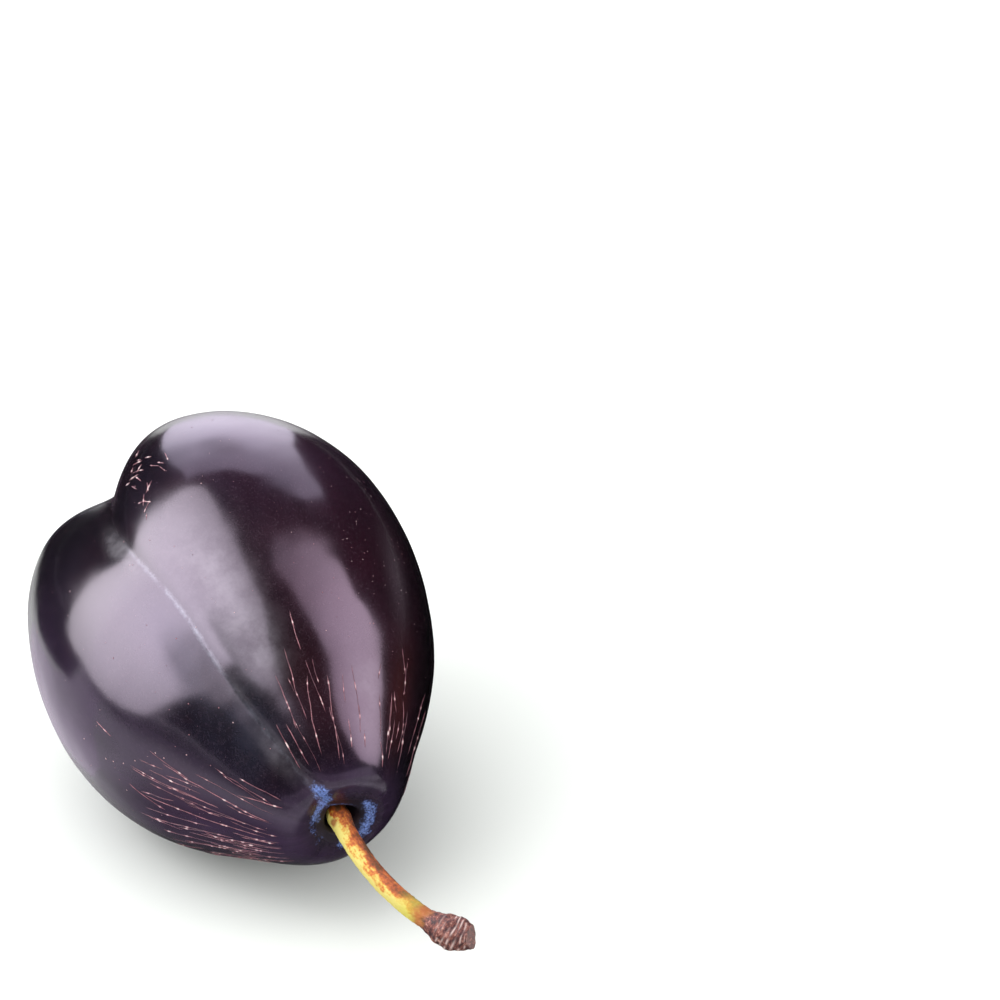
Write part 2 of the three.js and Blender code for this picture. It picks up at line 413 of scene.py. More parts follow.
# %% Black cards
NEARLY_BLACK = linear("#050505")
CARDS = {
    # The azimuth and the distance, in millimetres, of each corner.
    "right_card": [
        (62, 20), (22, 20), (20, 44), (34, 46), (46, 62), (52, 2500), (90, 2500), (146, 2500),
        (146, 62), (126, 46), (100, 24),
    ],
    "back_card": [(146, 62), (146, 165), (160, 140), (172, 165), (185, 150), (185, 80), (155, 68)],
    "left_card": [
        (172, 76), (172, 2500), (205, 2500), (240, 2500), (238, 85), (225, 75), (212, 70), (200, 78),
        (188, 88),
    ],
}


def on_table(azimuth, distance_mm, height_mm):
    """A point over the table top, given by its azimuth and distance from the plum's centre."""
    return Vector((CENTRE.x, CENTRE.y, height_mm * MM)) + direction(azimuth, 0) * distance_mm * MM


cards = []
for name, places in CARDS.items():
    cards.append(flat_polygon(name, [on_table(azimuth, away, 0.2) for azimuth, away in places]))
    only_in_gloss(cards[-1])
tree = new_material("black_paper", *cards)
black = add_node(tree, "ShaderNodeBsdfDiffuse", {"Color": NEARLY_BLACK})
add_node(tree, "ShaderNodeOutputMaterial", {"Surface": black})
print("black cards:", len(cards))

# %% [markdown]
# More sheets lie on the table for the gloss alone. Five are soft dark patches, where a real table is in
# the shade of the fruit, of its stem and of whatever stands round it. Their darkness fades away from the
# middle, because a hard edge would show in the skin. The last sheet is a pale violet reflector, close by
# on the left, which gives that flank its glowing edge.

# %% Soft shades and left reflector
SHADES = {
    # The azimuth and distance of its middle, where it stops being full, where it ends, its darkness.
    "front_shade": (320, 23, 8, 34, 0.9),
    "stem_shade": (10, 39, 10, 25, 0.85),
    "corner_shade": (288, 300, 185, 240, 0.8),
    "far_shade": (350, 240, 150, 188, 0.27),
    "flank_shade": (50, 88, 10, 48, 0.75),
}
REFLECTOR = [
    (194, 34), (205, 66), (225, 68), (238, 84), (242, 200), (254, 250), (260, 30), (250, 23), (228, 26),
]

for layer, (name, (azimuth, away, full, gone, darkness)) in enumerate(SHADES.items()):
    middle = on_table(azimuth, away, 0.3 + 0.1 * layer)
    shade = flat_polygon(name, [middle + direction(turn, 0) * gone * MM for turn in range(0, 360, 15)])
    only_in_gloss(shade)
    tree = new_material(name + "_gel", shade)
    here = add_node(tree, "ShaderNodeNewGeometry")
    from_middle = add_node(tree, "ShaderNodeVectorMath", {0: here, 1: middle}, operation="DISTANCE")
    fading = {"From Min": full * MM, "From Max": 0.99 * gone * MM, "To Min": darkness, "To Max": 0.0}
    dark_share = add_node(
        tree, "ShaderNodeMapRange", {"Value": from_middle, **fading}, interpolation_type="SMOOTHSTEP"
    )
    clear = add_node(tree, "ShaderNodeBsdfTransparent")
    black = add_node(tree, "ShaderNodeBsdfDiffuse", {"Color": NEARLY_BLACK})
    shaded = add_node(tree, "ShaderNodeMixShader", {0: dark_share, 1: clear, 2: black})
    add_node(tree, "ShaderNodeOutputMaterial", {"Surface": shaded})

corners = [on_table(azimuth, away, 0.1) for azimuth, away in REFLECTOR]
left_reflector = flat_polygon("left_reflector", corners)
only_in_gloss(left_reflector)
tree = new_material("violet_glow", left_reflector)
violet_light = add_node(tree, "ShaderNodeEmission", {"Color": linear("#f1e8f6"), "Strength": 1.55})
add_node(tree, "ShaderNodeOutputMaterial", {"Surface": violet_light})
print("soft shades:", len(SHADES))

# %% [markdown]
# The lamps for matt things are ordinary area lamps that gloss can't see: a large one overhead for the
# soft shadow, one at the left for form and a weak one at the right. The world is white for the camera
# and for matt things, and dark for gloss.

# %% Lamps that light the matt things
LAMPS = {
    # Azimuth and elevation, distance and size in metres, and how bright it is.
    "overhead_lamp": (-140, 64, 1.0, 1.4, 1.1),
    "left_lamp": (-85, 36, 1.0, 0.9, 1.4),
    "right_lamp": (60, 40, 1.0, 0.6, 0.15),
}

for name, (azimuth, elevation, distance, size, radiance) in LAMPS.items():
    light = bpy.data.lights.new(name, "AREA")
    light.shape = "SQUARE"
    light.size = size
    light.energy = 4 * radiance * size**2
    lamp = add_facing_plum(name, light, azimuth, elevation, distance)
    lamp.visible_camera = lamp.visible_glossy = False
    print(name, "gives", round(light.energy, 2), "watts")

world = bpy.data.worlds.new("white_studio")
world.use_nodes = True
world.node_tree.nodes.clear()
studio_white = add_node(
    world.node_tree, "ShaderNodeBackground", {"Color": linear("#ffffff"), "Strength": 1.0}
)
add_node(world.node_tree, "ShaderNodeOutputWorld", {"Surface": studio_white})
bpy.context.scene.world = world
for ray in ("glossy", "transmission", "scatter"):
    setattr(world.cycles_visibility, ray, False)

# %% [markdown]
# Nothing that grows is quite smooth, so a few slow waves a few hundredths of a millimetre high unsettle
# the skin's reflections. There is also a very shallow fold on each side of the crease, which only shows
# in the reflections, and the pit that the stem is rooted in.

# %% Waves and folds of the skin
SOCKET = {"radius": 1.75, "floor": 24.1, "edge": 0.08, "wall": 0.22}
SKIN_WAVES = {"height": 0.035, "length": 7.0}
FINE_WAVES = {"height": 0.010, "length": 3.0}
FOLDS = [
    {"depth": 0.12, "at": 62, "spread": 14, "across": 2.1, "width": 1.2},
    {"depth": 0.09, "at": 52, "spread": 11, "across": -3.6, "width": 1.3},
]


def waves(points, length, seed, count=14):
    """Smooth random waves of about this length, from about -1 to 1, in three dimensions."""
    random = np.random.default_rng(seed)
    total = 0
    for _ in range(count):
        axis = random.normal(size=3)
        axis *= 2 * math.pi / (length * random.uniform(0.8, 1.6)) / np.linalg.norm(axis)
        total = total + np.sin(points @ axis + random.uniform(0, 2 * math.pi))
    return total / math.sqrt(2 * count)


def across_suture(radius, from_stem, bearing):
    """Millimetres to the right of the suture's line, and 99 on the far side of the fruit."""
    theta, phi = np.radians(from_stem), np.radians(bearing)
    across = radius * np.sin(theta) * np.sin(phi) - suture_sway(from_stem)
    return np.where(np.cos(phi) * np.sin(theta) * radius > -4, across, 99.0)


def detailed_radius(from_stem, bearing):
    """The skin's radius with the pit that the stem is rooted in, the folds and the waves."""
    radius = skin_radius(from_stem, bearing)
    from_axis = radius * np.sin(np.radians(from_stem))
    height = radius * np.cos(np.radians(from_stem))
    pit = ramp((SOCKET["radius"] + SOCKET["edge"] - from_axis) / SOCKET["wall"]) * (from_stem < 60)
    across = across_suture(radius, from_stem, bearing)
    folds = sum(
        fold["depth"]
        * bell(from_stem - fold["at"], fold["spread"])
        * bell(across - fold["across"], fold["width"])
        for fold in FOLDS
    )
    places = spread_out(radius, from_stem, bearing)
    slow = SKIN_WAVES["height"] * waves(places, SKIN_WAVES["length"], 3)
    fine = FINE_WAVES["height"] * waves(places, FINE_WAVES["length"], 4)
    away_from_pit = ramp((from_axis - 1.5) / 3)
    pit_depth = pit * np.clip(height - SOCKET["floor"], 0, None)
    return radius - folds - pit_depth + (slow + fine) * away_from_pit


def skin_places(from_stem, bearing):
    """Points of the growth frame on the finished skin."""
    return spread_out(detailed_radius(from_stem, bearing), from_stem, bearing)


waviness = detailed_radius(np.arange(60.0, 120.0), 150.0) - skin_radius(np.arange(60.0, 120.0), 150.0)
print("waves on the back, mm high:", round(float(np.ptp(waviness)), 3))

# %% [markdown]
# The skin is a grid of rings from the stem to the blossom end. The rings crowd together at the stem, and
# the columns crowd together at the suture, because the sharpest curves are there. The few points that
# would lie below the table are lifted to it, which gives the flat spot that the plum rests on.

# %% Fruit skin mesh
COLUMNS, RINGS = 360, 248
EVEN_SPACING, RING_CROWDING = 0.55, 1.25


def mesh_piece(name, points, faces):
    """A smooth-shaded piece that rides on the fruit's one body."""
    mesh = bpy.data.meshes.new(name)
    mesh.from_pydata(points.tolist(), [], faces)
    mesh.shade_smooth()
    piece = bpy.data.objects.new(name, mesh)
    bpy.context.scene.collection.objects.link(piece)
    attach(piece, "root")
    return piece


def ringed_faces(rings, columns):
    """Quads between rings of points, and fans to the two end points that follow them."""
    faces = []
    for i in range(rings - 1):
        for j in range(columns):
            k = (j + 1) % columns
            here, there = i * columns, (i + 1) * columns
            faces.append([here + j, there + j, there + k, here + k])
    first_end, last_end = rings * columns, rings * columns + 1
    for j in range(columns):
        k = (j + 1) % columns
        faces.append([first_end, j, k])
        faces.append([last_end, (rings - 1) * columns + k, (rings - 1) * columns + j])
    return faces


def keep_on_points(piece, name, values):
    """Stores a number or a vector for each point, for the piece's material to read."""
    values = np.asarray(values, dtype="f")
    kind, field = ("FLOAT_VECTOR", "vector") if values.ndim == 2 else ("FLOAT", "value")
    piece.data.attributes.new(name, kind, "POINT").data.foreach_set(field, values.ravel())


step = np.linspace(-1, 1, COLUMNS, endpoint=False)[None, :]
ring = np.linspace(0, 1, RINGS + 1)[1:-1, None]
crowded_step = EVEN_SPACING * step + (1 - EVEN_SPACING) * step**3
bearing = np.append((180 * crowded_step + 0 * ring).ravel(), [0.0, 0.0])
from_stem = np.append((180 * ring**RING_CROWDING + 0 * step).ravel(), [0.01, 179.99])
radius = detailed_radius(from_stem, bearing)
grown = spread_out(radius, from_stem, bearing)
skin_points = laid_down(grown)
skin_points[:, 2] = np.maximum(skin_points[:, 2], 0)
fruit_skin = mesh_piece("fruit_skin", skin_points, ringed_faces(len(ring), COLUMNS))
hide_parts("fruit")
print("skin triangles:", 2 * len(fruit_skin.data.polygons) - 2 * COLUMNS)

# %% [markdown]
# The skin's colour changes over the fruit for reasons that a painter would follow: it is redder where the
# sun reached it, it keeps a violet veil of wax where nothing has rubbed it off, and the wax lies thickest
# and powder blue in the places that fingers and leaves can't reach, which are the suture and the hollow
# round the stem. A few shares are painted light instead: a painted shade that darkens one flank, a faint
# painted highlight streak beside it, and painted highlight in part of the pale wax cloud and on the pit's
# lip. Each of these is a share from 0 to 1, worked out for each point of the mesh, and the material
# breaks it up with noise afterwards.

# %% Where the skin is red and where its wax is left
STREAKS = {"round": 9, "per_degree": 0.07}
BLOOM_RING = {"radius": 3.05, "width": 0.85}
BLOOM_PATCHES = [
    # The bearing of its middle, how far it spreads and how thick it is.
    (6, 24, 0.85), (45, 26, 0.7), (92, 20, 0.55), (145, 18, 0.75), (180, 22, 0.7), (-139, 26, 0.85),
    (-98, 28, 0.85),
]


def patch(towards, spread, at, tall):
    """1 in the middle of a soft patch, by bearing and by angle from the stem."""
    return bell(turn_between(bearing, towards), spread) * bell(from_stem - at, tall)


from_axis = np.hypot(grown[:, 0], grown[:, 1])
stem_half = from_stem < 90
across = across_suture(radius, from_stem, bearing)
sunny_cheek = bell(turn_between(bearing, -62), 44) * ramp((from_stem - 12) / 14)
shares = {
    "redness": 0.7 * sunny_cheek + 0.25 * patch(62, 20, 42, 20),
    "wine": patch(-85, 9, 34, 15) + 0.3 * patch(-30, 14, 36, 14) + 0.15 * patch(60, 16, 38, 14),
    # painted shade: the flank round bearing -132 is darkened nearly to black
    "painted_shade_flank": bell(turn_between(bearing, -132), 38) * ramp((from_stem - 22) / 20),
    # painted highlight: a faint pale streak along the flank at bearing -81
    "painted_gleam_streak": patch(-81, 4.5, 68, 16),
    "violet_veil": bell(turn_between(bearing, 82), 46, 3)
    * ramp((from_stem - 6) / 14)
    * (1 - ramp((from_stem - 100) / 40))
    + 0.3 * patch(-50, 40, 112, 22)
    + 0.7 * bell(from_stem - 10, 6),
    "crease_haze": bell(across - 1.6, 4.4)
    * ramp((from_stem - 18) / 12)
    * (1 - ramp((from_stem - 60) / 50)),
    "milk_and_gleam": 0.9 * patch(-15, 10, 74, 20)
    + 0.5 * patch(-62, 9, 31, 12)
    + 0.9 * patch(-17, 9, 50, 10)
    # painted highlight: this grey cloud beside the cleft stands in for the tip of a reflection
    + 1.5 * bell(across - 0.8, 0.9) * bell(from_stem - 106, 10)
    + 0.6 * bell(across - 0.4, 1.0) * bell(from_stem - 23, 6)
    + 0.4 * bell(across, 0.7) * bell(from_stem - 41, 4),
    "in_recess": bell(from_axis, 3.1, 5) * stem_half,
    "blossom_scar": bell(from_axis, 0.75, 4) * (from_stem > 90),
    "bloom_and_lip_gleam": stem_half
    * (
        bell(from_axis - BLOOM_RING["radius"], BLOOM_RING["width"])
        * sum(thick * bell(turn_between(bearing, to), spread) for to, spread, thick in BLOOM_PATCHES)
        + 1.05 * bell(across + 0.5, 0.9) * bell(from_axis - 5.0, 1.3)
        # painted highlight: a thin ring on the pit's lip
        + 0.75 * bell(from_axis - 2.0, 0.2) * bell(turn_between(bearing, -40), 55)
    ),
}
for name, values in shares.items():
    keep_on_points(fruit_skin, name, np.clip(values, 0, 1))
    print(name, "covers on average", round(float(np.mean(np.clip(values, 0, 1))), 3))
keep_on_points(fruit_skin, "across_suture", across)
keep_on_points(fruit_skin, "from_stem", from_stem)
keep_on_points(fruit_skin, "grown_at", grown)
turn = np.radians(bearing)
round_skin = STREAKS["round"] * np.stack([np.cos(turn), np.sin(turn)], axis=-1)
along_skin = np.column_stack([round_skin, from_stem * STREAKS["per_degree"]])
keep_on_points(fruit_skin, "along_skin", along_skin)

# %% [markdown]
# Plum skin is a thin smooth cuticle with a coat of wax, over flesh so dark that it hides it. To the eye
# it is nearly black, wine red where the sun reached it, with a soft-edged gloss. Wax is made of specks
# finer than light's wavelength, which scatter blue light more than red: a thin veil of it looks violet,
# and a thick layer looks powder blue and matt.
#
# The mottling is 5 to 15 mm across, as on a real plum. The specks in the wax are a hundredth of a
# millimetre on the fruit, so they are drawn twenty times as coarse here, or they wouldn't show.

# %% Skin material: the shares and the noises that it reads
NOISES = {
    # What the noise is drawn along, its scale per millimetre, its detail and its roughness.
    "mottling": ("grown_at", 0.11, 5.0, 0.6),
    "flecking": ("grown_at", 1.9, 4.0, 0.62),
    "streaking": ("along_skin", 0.5, 5.0, 0.6),
    "powder": ("grown_at", 4.5, 3.0, 0.7),
    "clouds": ("grown_at", 0.22, 5.0, 0.6),
    "specks": ("grown_at", 0.5, 6.0, 0.72),
    "blotches": ("grown_at", 1.1, 5.0, 0.68),
    "grain": ("grown_at", 3.0, 2.0, 0.5),
}
tree = new_material("waxy_plum_skin", fruit_skin)
share = {"everywhere": 1.0}
for name in (*shares, "across_suture", "from_stem"):
    share[name] = add_node(tree, "ShaderNodeAttribute", attribute_name=name).outputs["Fac"]
noise = {}
for name, (drawn_along, scale, detail, roughness) in NOISES.items():
    place = add_node(tree, "ShaderNodeAttribute", attribute_name=drawn_along).outputs["Vector"]
    texture = {"Vector": place, "Scale": scale, "Detail": detail, "Roughness": roughness}
    noise[name] = add_node(tree, "ShaderNodeTexNoise", texture)
print("skin shares:", len(share), "noises:", len(noise))

# %% [markdown]
# The colour is built up in layers, as a painter would glaze it, and each layer is mixed over the ones
# before it. First come the flesh under the skin and its even tints, among them a painted shade that
# darkens one flank nearly to black and a faint painted highlight streak, and then the layers that a noise
# breaks
# up: pale pores, wax dust, the violet veil, the blue-grey haze beside the crease and the pale grey cloud
# where the wax is thickest, which beside the cleft is painted highlight.

# %% Skin material: the flesh's colour and the wax over it
RANGE_INPUTS = ("From Min", "From Max", "To Min", "To Max")
EVEN_LAYERS = [
    # Its share, how strong the layer is, its colour.
    ("wine", 0.75, "#3a191a"),
    # painted shade: nearly black on one flank
    ("painted_shade_flank", 1.0, "#050304"),
    # painted highlight: the faint pale streak on that flank
    ("painted_gleam_streak", 0.6, "#453a42"),
]
BROKEN_LAYERS = [
    # Its share, its noise, the noise's levels, how strong the layer is at each, how it grows, its colour.
    ("everywhere", "flecking", (0.5, 0.8), (0.0, 0.35), "LINEAR", "#36282f"),
    ("everywhere", "powder", (0.56, 0.8), (0.0, 0.4), "LINEAR", "#4d434c"),
    ("violet_veil", "streaking", (0.3, 0.7), (0.4, 0.85), "LINEAR", "#3a2a42"),
    ("crease_haze", "mottling", (0.35, 0.65), (0.04, 0.55), "LINEAR", "#2f3140"),
    # pale wax cloud, and painted highlight where it brightens a reflection's tip
    ("milk_and_gleam", "clouds", (0.32, 0.7), (0.1, 1.0), "SMOOTHSTEP", "#666369"),
]
uneven_red = add_node(
    tree, "ShaderNodeMath", {0: noise["mottling"], 1: 1.5, 2: -0.8}, operation="MULTIPLY_ADD"
)
red_share = add_node(
    tree, "ShaderNodeMath", {0: share["redness"], 1: uneven_red}, operation="ADD", use_clamp=True
)
skin_colour = add_node(
    tree, "ShaderNodeMix", {0: red_share, 6: linear("#0b090f"), 7: linear("#27101b")}, data_type="RGBA"
)
layers = []
for name, strength, tint in EVEN_LAYERS:
    layer = add_node(tree, "ShaderNodeMath", {0: share[name], 1: strength}, operation="MULTIPLY")
    layers.append((layer, linear(tint)))
for name, broken_by, levels, strengths, growth, tint in BROKEN_LAYERS:
    growing = dict(zip(RANGE_INPUTS, levels + strengths))
    strength = add_node(
        tree, "ShaderNodeMapRange", {"Value": noise[broken_by], **growing}, interpolation_type=growth
    )
    layer = add_node(tree, "ShaderNodeMath", {0: share[name], 1: strength}, operation="MULTIPLY")
    layers.append((layer, linear(tint)))
print("layers of colour over the flesh:", len(layers))

# %% [markdown]
# The suture is a hairline of wax along the bottom of the crease. It wanders a little and is broken into
# specks, because the wax there is only what hasn't been rubbed away, and it fades out where the cleft
# begins. The bloom round the stem is blotchy for the same reason: noise is added to its share, and only
# what rises above a threshold is left. A thin ring of the bloom's blue on the pit's lip is painted
# highlight, and the hollow round the stem is darkened with painted shade. A dry brown scar at the other
# end is where the flower was.

# %% Skin material: the suture's line and the powdery bloom
wander = add_node(
    tree, "ShaderNodeMath", {0: noise["flecking"], 1: 0.5, 2: -0.25}, operation="MULTIPLY_ADD"
)
off_line = add_node(tree, "ShaderNodeMath", {0: share["across_suture"], 1: wander}, operation="ADD")
off_line = add_node(tree, "ShaderNodeMath", {0: off_line}, operation="ABSOLUTE")
LINE_FADES = [
    # What the line fades by, that thing's levels, how strong the line is at each and how it fades.
    (off_line, (0.0, 0.42), (1.0, 0.0), "SMOOTHSTEP"),
    (noise["specks"], (0.4, 0.62), (0.0, 1.0), "LINEAR"),
    (share["from_stem"], (40.0, 58.0), (0.28, 1.0), "SMOOTHSTEP"),
    (share["from_stem"], (92.0, 112.0), (0.5, 0.0), "SMOOTHSTEP"),
]
line_share = 1.0
for faded_by, levels, strengths, growth in LINE_FADES:
    growing = dict(zip(RANGE_INPUTS, levels + strengths))
    fade = add_node(tree, "ShaderNodeMapRange", {"Value": faded_by, **growing}, interpolation_type=growth)
    line_share = add_node(tree, "ShaderNodeMath", {0: line_share, 1: fade}, operation="MULTIPLY")

# the bloom's share, which also holds the painted highlight on the pit's lip
bloom_and_gleam_level = share["bloom_and_lip_gleam"]
for name, weight in (("blotches", 1.5), ("powder", 0.5)):
    bloom_and_gleam_level = add_node(
        tree, "ShaderNodeMath", {0: noise[name], 1: weight, 2: bloom_and_gleam_level}, operation="MULTIPLY_ADD"
    )
thick_enough = {"From Min": 1.42, "From Max": 1.98, "To Min": 0.0, "To Max": 0.9}
bloom_and_gleam_share = add_node(
    tree, "ShaderNodeMapRange", {"Value": bloom_and_gleam_level, **thick_enough}, interpolation_type="SMOOTHSTEP"
)
bloom_specks = add_node(
    tree, "ShaderNodeMapRange", {"Value": noise["powder"], "From Min": 0.36, "From Max": 0.62}
)
thin_blue, thick_blue = linear("#171d40"), linear("#7593dc")
bloom_tone = add_node(
    tree, "ShaderNodeMix", {0: bloom_specks, 6: thin_blue, 7: thick_blue}, data_type="RGBA"
)
layers += [
    (line_share, linear("#8a8d99")),
    # painted shade: the hollow round the stem is darkened
    (share["in_recess"], linear("#150d14")),
    (share["blossom_scar"], linear("#6e5140")),
    (bloom_and_gleam_share, bloom_tone),
]
for layer, tone in layers:
    skin_colour = add_node(tree, "ShaderNodeMix", {0: layer, 6: skin_colour, 7: tone}, data_type="RGBA")
print("layers of colour with the suture, the scar and the bloom:", len(layers))

# %% [markdown]
# Bare cuticle has an IOR of about 1.5 and is smooth but not polished. Wax is matt, so the roughness rises
# in the recess, along the suture and under the bloom. The gloss of this skin is a little violet, because
# the wax veil colours what it reflects. A faint bump at a third of a millimetre gives the grain that
# keeps a reflection from looking like plastic. Wax dust scatters more light at a glancing angle, so the
# gloss is a little duller towards the outline.

# %% Skin material: gloss and grain
DULL_ROUGHNESS = 0.42
dull_share = share["in_recess"]
for duller in (bloom_and_gleam_share, line_share, share["blossom_scar"]):
    dull_share = add_node(tree, "ShaderNodeMath", {0: dull_share, 1: duller}, operation="MAXIMUM")
streaks = {"From Min": 0.3, "From Max": 0.7, "To Min": 0.12, "To Max": 0.185}
cuticle_roughness = add_node(tree, "ShaderNodeMapRange", {"Value": noise["streaking"], **streaks})
dulling = {"To Min": cuticle_roughness, "To Max": DULL_ROUGHNESS}
skin_roughness = add_node(tree, "ShaderNodeMapRange", {"Value": dull_share, **dulling})
facing_away = add_node(tree, "ShaderNodeLayerWeight", {"Blend": 0.5}).outputs["Facing"]
glancing = {"From Min": 0.66, "From Max": 0.95, "To Min": 0.0, "To Max": 0.16}
scattering = add_node(
    tree, "ShaderNodeMapRange", {"Value": facing_away, **glancing}, interpolation_type="SMOOTHSTEP"
)
roughness = add_node(tree, "ShaderNodeMath", {0: skin_roughness, 1: scattering}, operation="ADD")
grain_bump = add_node(
    tree, "ShaderNodeBump", {"Height": noise["grain"], "Strength": 0.35, "Distance": 0.004 * MM}
)
finish = {"Roughness": roughness, "IOR": 1.5, "Specular Tint": linear("#f5e6ff"), "Normal": grain_bump}
skin_shader = add_node(tree, "ShaderNodeBsdfPrincipled", {"Base Color": skin_colour, **finish})
add_node(tree, "ShaderNodeOutputMaterial", {"Surface": skin_shader})
print("skin material nodes:", len(tree.nodes))

# %% [markdown]
# Where the flesh grew faster than the skin, the skin split along the fruit's length and healed with thin
# seams of cork, called russet. There are most of them round the stem. Each is modelled as a closed sliver
# half sunk in the skin, about a tenth of a millimetre wide, swollen here and there into a bead. A picture
# of lines on the skin would need a much finer mesh or a texture, and would not catch the light. The
# closed pores of the skin are low domes, a tenth of a millimetre or so across.

# %% One seam and one dot
SEAM_STEP = 0.2
SEAM_RISE = 0.045
BEAD_LENGTH = 0.17
SEAM_STRAYS, SEAM_SHAKES = 0.1, 0.02
SKIN_RADIUS_THERE = 24
ROUND_THE_SEAM = np.array([(-1, 0), (-0.6, 1), (0.6, 1), (1, 0), (0.6, -0.8), (-0.6, -0.8)])


def outward_from_skin(from_stem, bearing):
    """Unit vectors at right angles to the skin, from its slope a third of a degree either way."""
    nudge = 0.3
    down = skin_places(from_stem + nudge, bearing) - skin_places(from_stem - nudge, bearing)
    round_it = skin_places(from_stem, bearing + nudge) - skin_places(from_stem, bearing - nudge)
    outward = np.cross(down, round_it)
    return outward / np.linalg.norm(outward, axis=-1, keepdims=True)


def wavering(random, count, every):
    """A smooth random line from -1 to 1, with a new value every few steps."""
    knots = random.uniform(-1, 1, max(2, int(count / every) + 2))
    return np.interp(np.linspace(0, len(knots) - 1, count), np.arange(len(knots)), knots)


def cork_seam(start, end, half_width, random, paleness=0.2):
    """A tapering, beaded sliver between two places on the skin."""
    rough_ends = skin_places(np.array([start[0], end[0]], float), np.array([start[1], end[1]], float))
    count = max(7, int(np.linalg.norm(rough_ends[1] - rough_ends[0]) / SEAM_STEP))
    along = np.linspace(0, 1, count)
    from_stem = start[0] + (end[0] - start[0]) * along
    bearing = start[1] + (end[1] - start[1]) * along
    sideways_mm = SEAM_STRAYS * wavering(random, count, 9) + SEAM_SHAKES * wavering(random, count, 3)
    bearing = bearing + np.degrees(sideways_mm / (SKIN_RADIUS_THERE * np.sin(np.radians(from_stem))))
    middle = skin_places(from_stem, bearing)
    outward = outward_from_skin(from_stem, bearing)
    forward = np.gradient(middle, axis=0)
    sideways = np.cross(forward, outward)
    sideways /= np.linalg.norm(sideways, axis=-1, keepdims=True)
    bead_size = BEAD_LENGTH / (SEAM_STEP * count)
    beads = sum(bell(along - at, bead_size) for at in random.uniform(0.05, 0.95, 1 + count // 26))
    taper = np.clip(9 * along * (1 - along), 0.04, 1) ** 0.5
    width = half_width * taper * (0.95 + 0.25 * wavering(random, count, 4) + 0.9 * beads)
    width, rise = width[:, None, None], (SEAM_RISE * taper * (0.8 + beads))[:, None, None]
    rings = middle[:, None, :] + width * ROUND_THE_SEAM[:, :1] * sideways[:, None, :]
    rings = rings + rise * ROUND_THE_SEAM[:, 1:] * outward[:, None, :]
    pale = np.clip(paleness + 0.2 * wavering(random, count, 3) + 0.6 * beads, 0, 1) * (0.4 + 0.6 * taper)
    points = np.vstack([rings.reshape(-1, 3), middle[:1], middle[-1:]])
    sides = len(ROUND_THE_SEAM)
    return points, ringed_faces(count, sides), np.append(np.repeat(pale, sides), [pale[0], pale[-1]])


def cork_dot(from_stem, bearing, size, pale):
    """A low dome: one closed breathing pore of the skin."""
    middle = skin_places(np.array([from_stem]), np.array([bearing]))
    outward = outward_from_skin(np.array([from_stem]), np.array([bearing]))[0]
    first = np.cross(outward, (0.3, 0.5, 0.8))
    first /= np.linalg.norm(first)
    second = np.cross(outward, first)
    turns = np.radians(np.arange(0, 360, 60))[:, None]
    rim = middle + size * (np.cos(turns) * first + np.sin(turns) * second) + 0.01 * outward
    points = np.vstack([rim, middle - 0.3 * size * outward, middle + 0.5 * size * outward])
    return points, ringed_faces(1, 6), np.full(8, pale)


print("points round a seam:", len(ROUND_THE_SEAM), "and one ring every", SEAM_STEP, "mm along it")

# %% [markdown]
# The most striking seams and dots are placed one by one. The rest are strewn at random from a fixed seed,
# so the fruit comes out the same each time: a few seams on the back, faint ones between the main seams,
# flecks beside the cleft, and pores all over, with paler ones on the right flank.

# %% Strew the seams and the dots
CRACKS = [
    # Each seam: from_stem and bearing of its blossom end, and then of its stem end.
    (55, -34, 43, -33), (45, -27, 26, -23), (39, -19, 25, -16), (36, -32, 18, -22), (35, -42, 16, -35),
    (27, -56, 21, -55), (24, -48, 18, -46), (21, -58, 18, -58), (32, -79, 21, -79), (33, -80, 28, -83),
    (32, -88, 24, -93), (46, -83, 39, -87), (20, -72, 15, -76), (28, -7, 17, -3), (27, -12, 17, -10),
    (47, 47, 18, 50), (46, 56, 29, 56), (39, 61, 28, 62), (52, 66, 18, 68), (58, 64, 46, 70),
    (54, 78, 43, 81), (35, 79, 31, 81), (36, 88, 22, 92), (73, 48, 66, 49), (26, 32, 16, 27),
    (25, 42, 15, 32), (24, 50, 17, 51), (24, 74, 16, 73), (30, 100, 20, 103), (41, 112, 24, 110),
]
FLECKS = [
    # Each fleck: from_stem and bearing.
    (134, -17), (128, -17), (121, -19), (126, -14), (120, -10), (114, -10), (126, -9), (113, -13),
    (131, -12), (117, -16), (110, -8), (123, -22),
]
PLACED_DOTS = [(77, 58), (67, 59), (64, 58), (60, 56), (56, 52), (50, 44), (47, 44), (41, 37)]
HALF_WIDTH_OF_SEAM = 0.042
SEAMS_ON_THE_BACK = (136, 152, 167, 178, 194, 207, 226, 243, 251)
FAINT_SEAMS = [
    # How many, their far ends' from_stem and bearing, their length in degrees, how far they stray from
    # straight, their half width and their paleness.
    (38, (26, 58), (30, 112), (8, 26), 3, (0.02, 0.034), 0.1),
    (16, (24, 44), (-96, -14), (4, 14), 2, (0.022, 0.036), 0.06),
]
PORES, PORES_ON_FLANK = 480, 70
NEAREST_TO_STEM = 15
random = np.random.default_rng(11)
marks = [cork_seam(crack[:2], crack[2:], HALF_WIDTH_OF_SEAM, random) for crack in CRACKS]
for turned in SEAMS_ON_THE_BACK:
    far = random.uniform(27, 48)
    ends = (far, turned), (random.uniform(16, far - 6), turned + random.uniform(-3, 3))
    marks.append(cork_seam(*ends, HALF_WIDTH_OF_SEAM, random))
for count, far_ends, bearings, lengths, stray, half_widths, paleness in FAINT_SEAMS:
    for _ in range(count):
        far, turned = random.uniform(*far_ends), random.uniform(*bearings)
        near = max(NEAREST_TO_STEM, far - random.uniform(*lengths))
        ends = (far, turned), (near, turned + random.uniform(-stray, stray))
        marks.append(cork_seam(*ends, random.uniform(*half_widths), random, paleness))
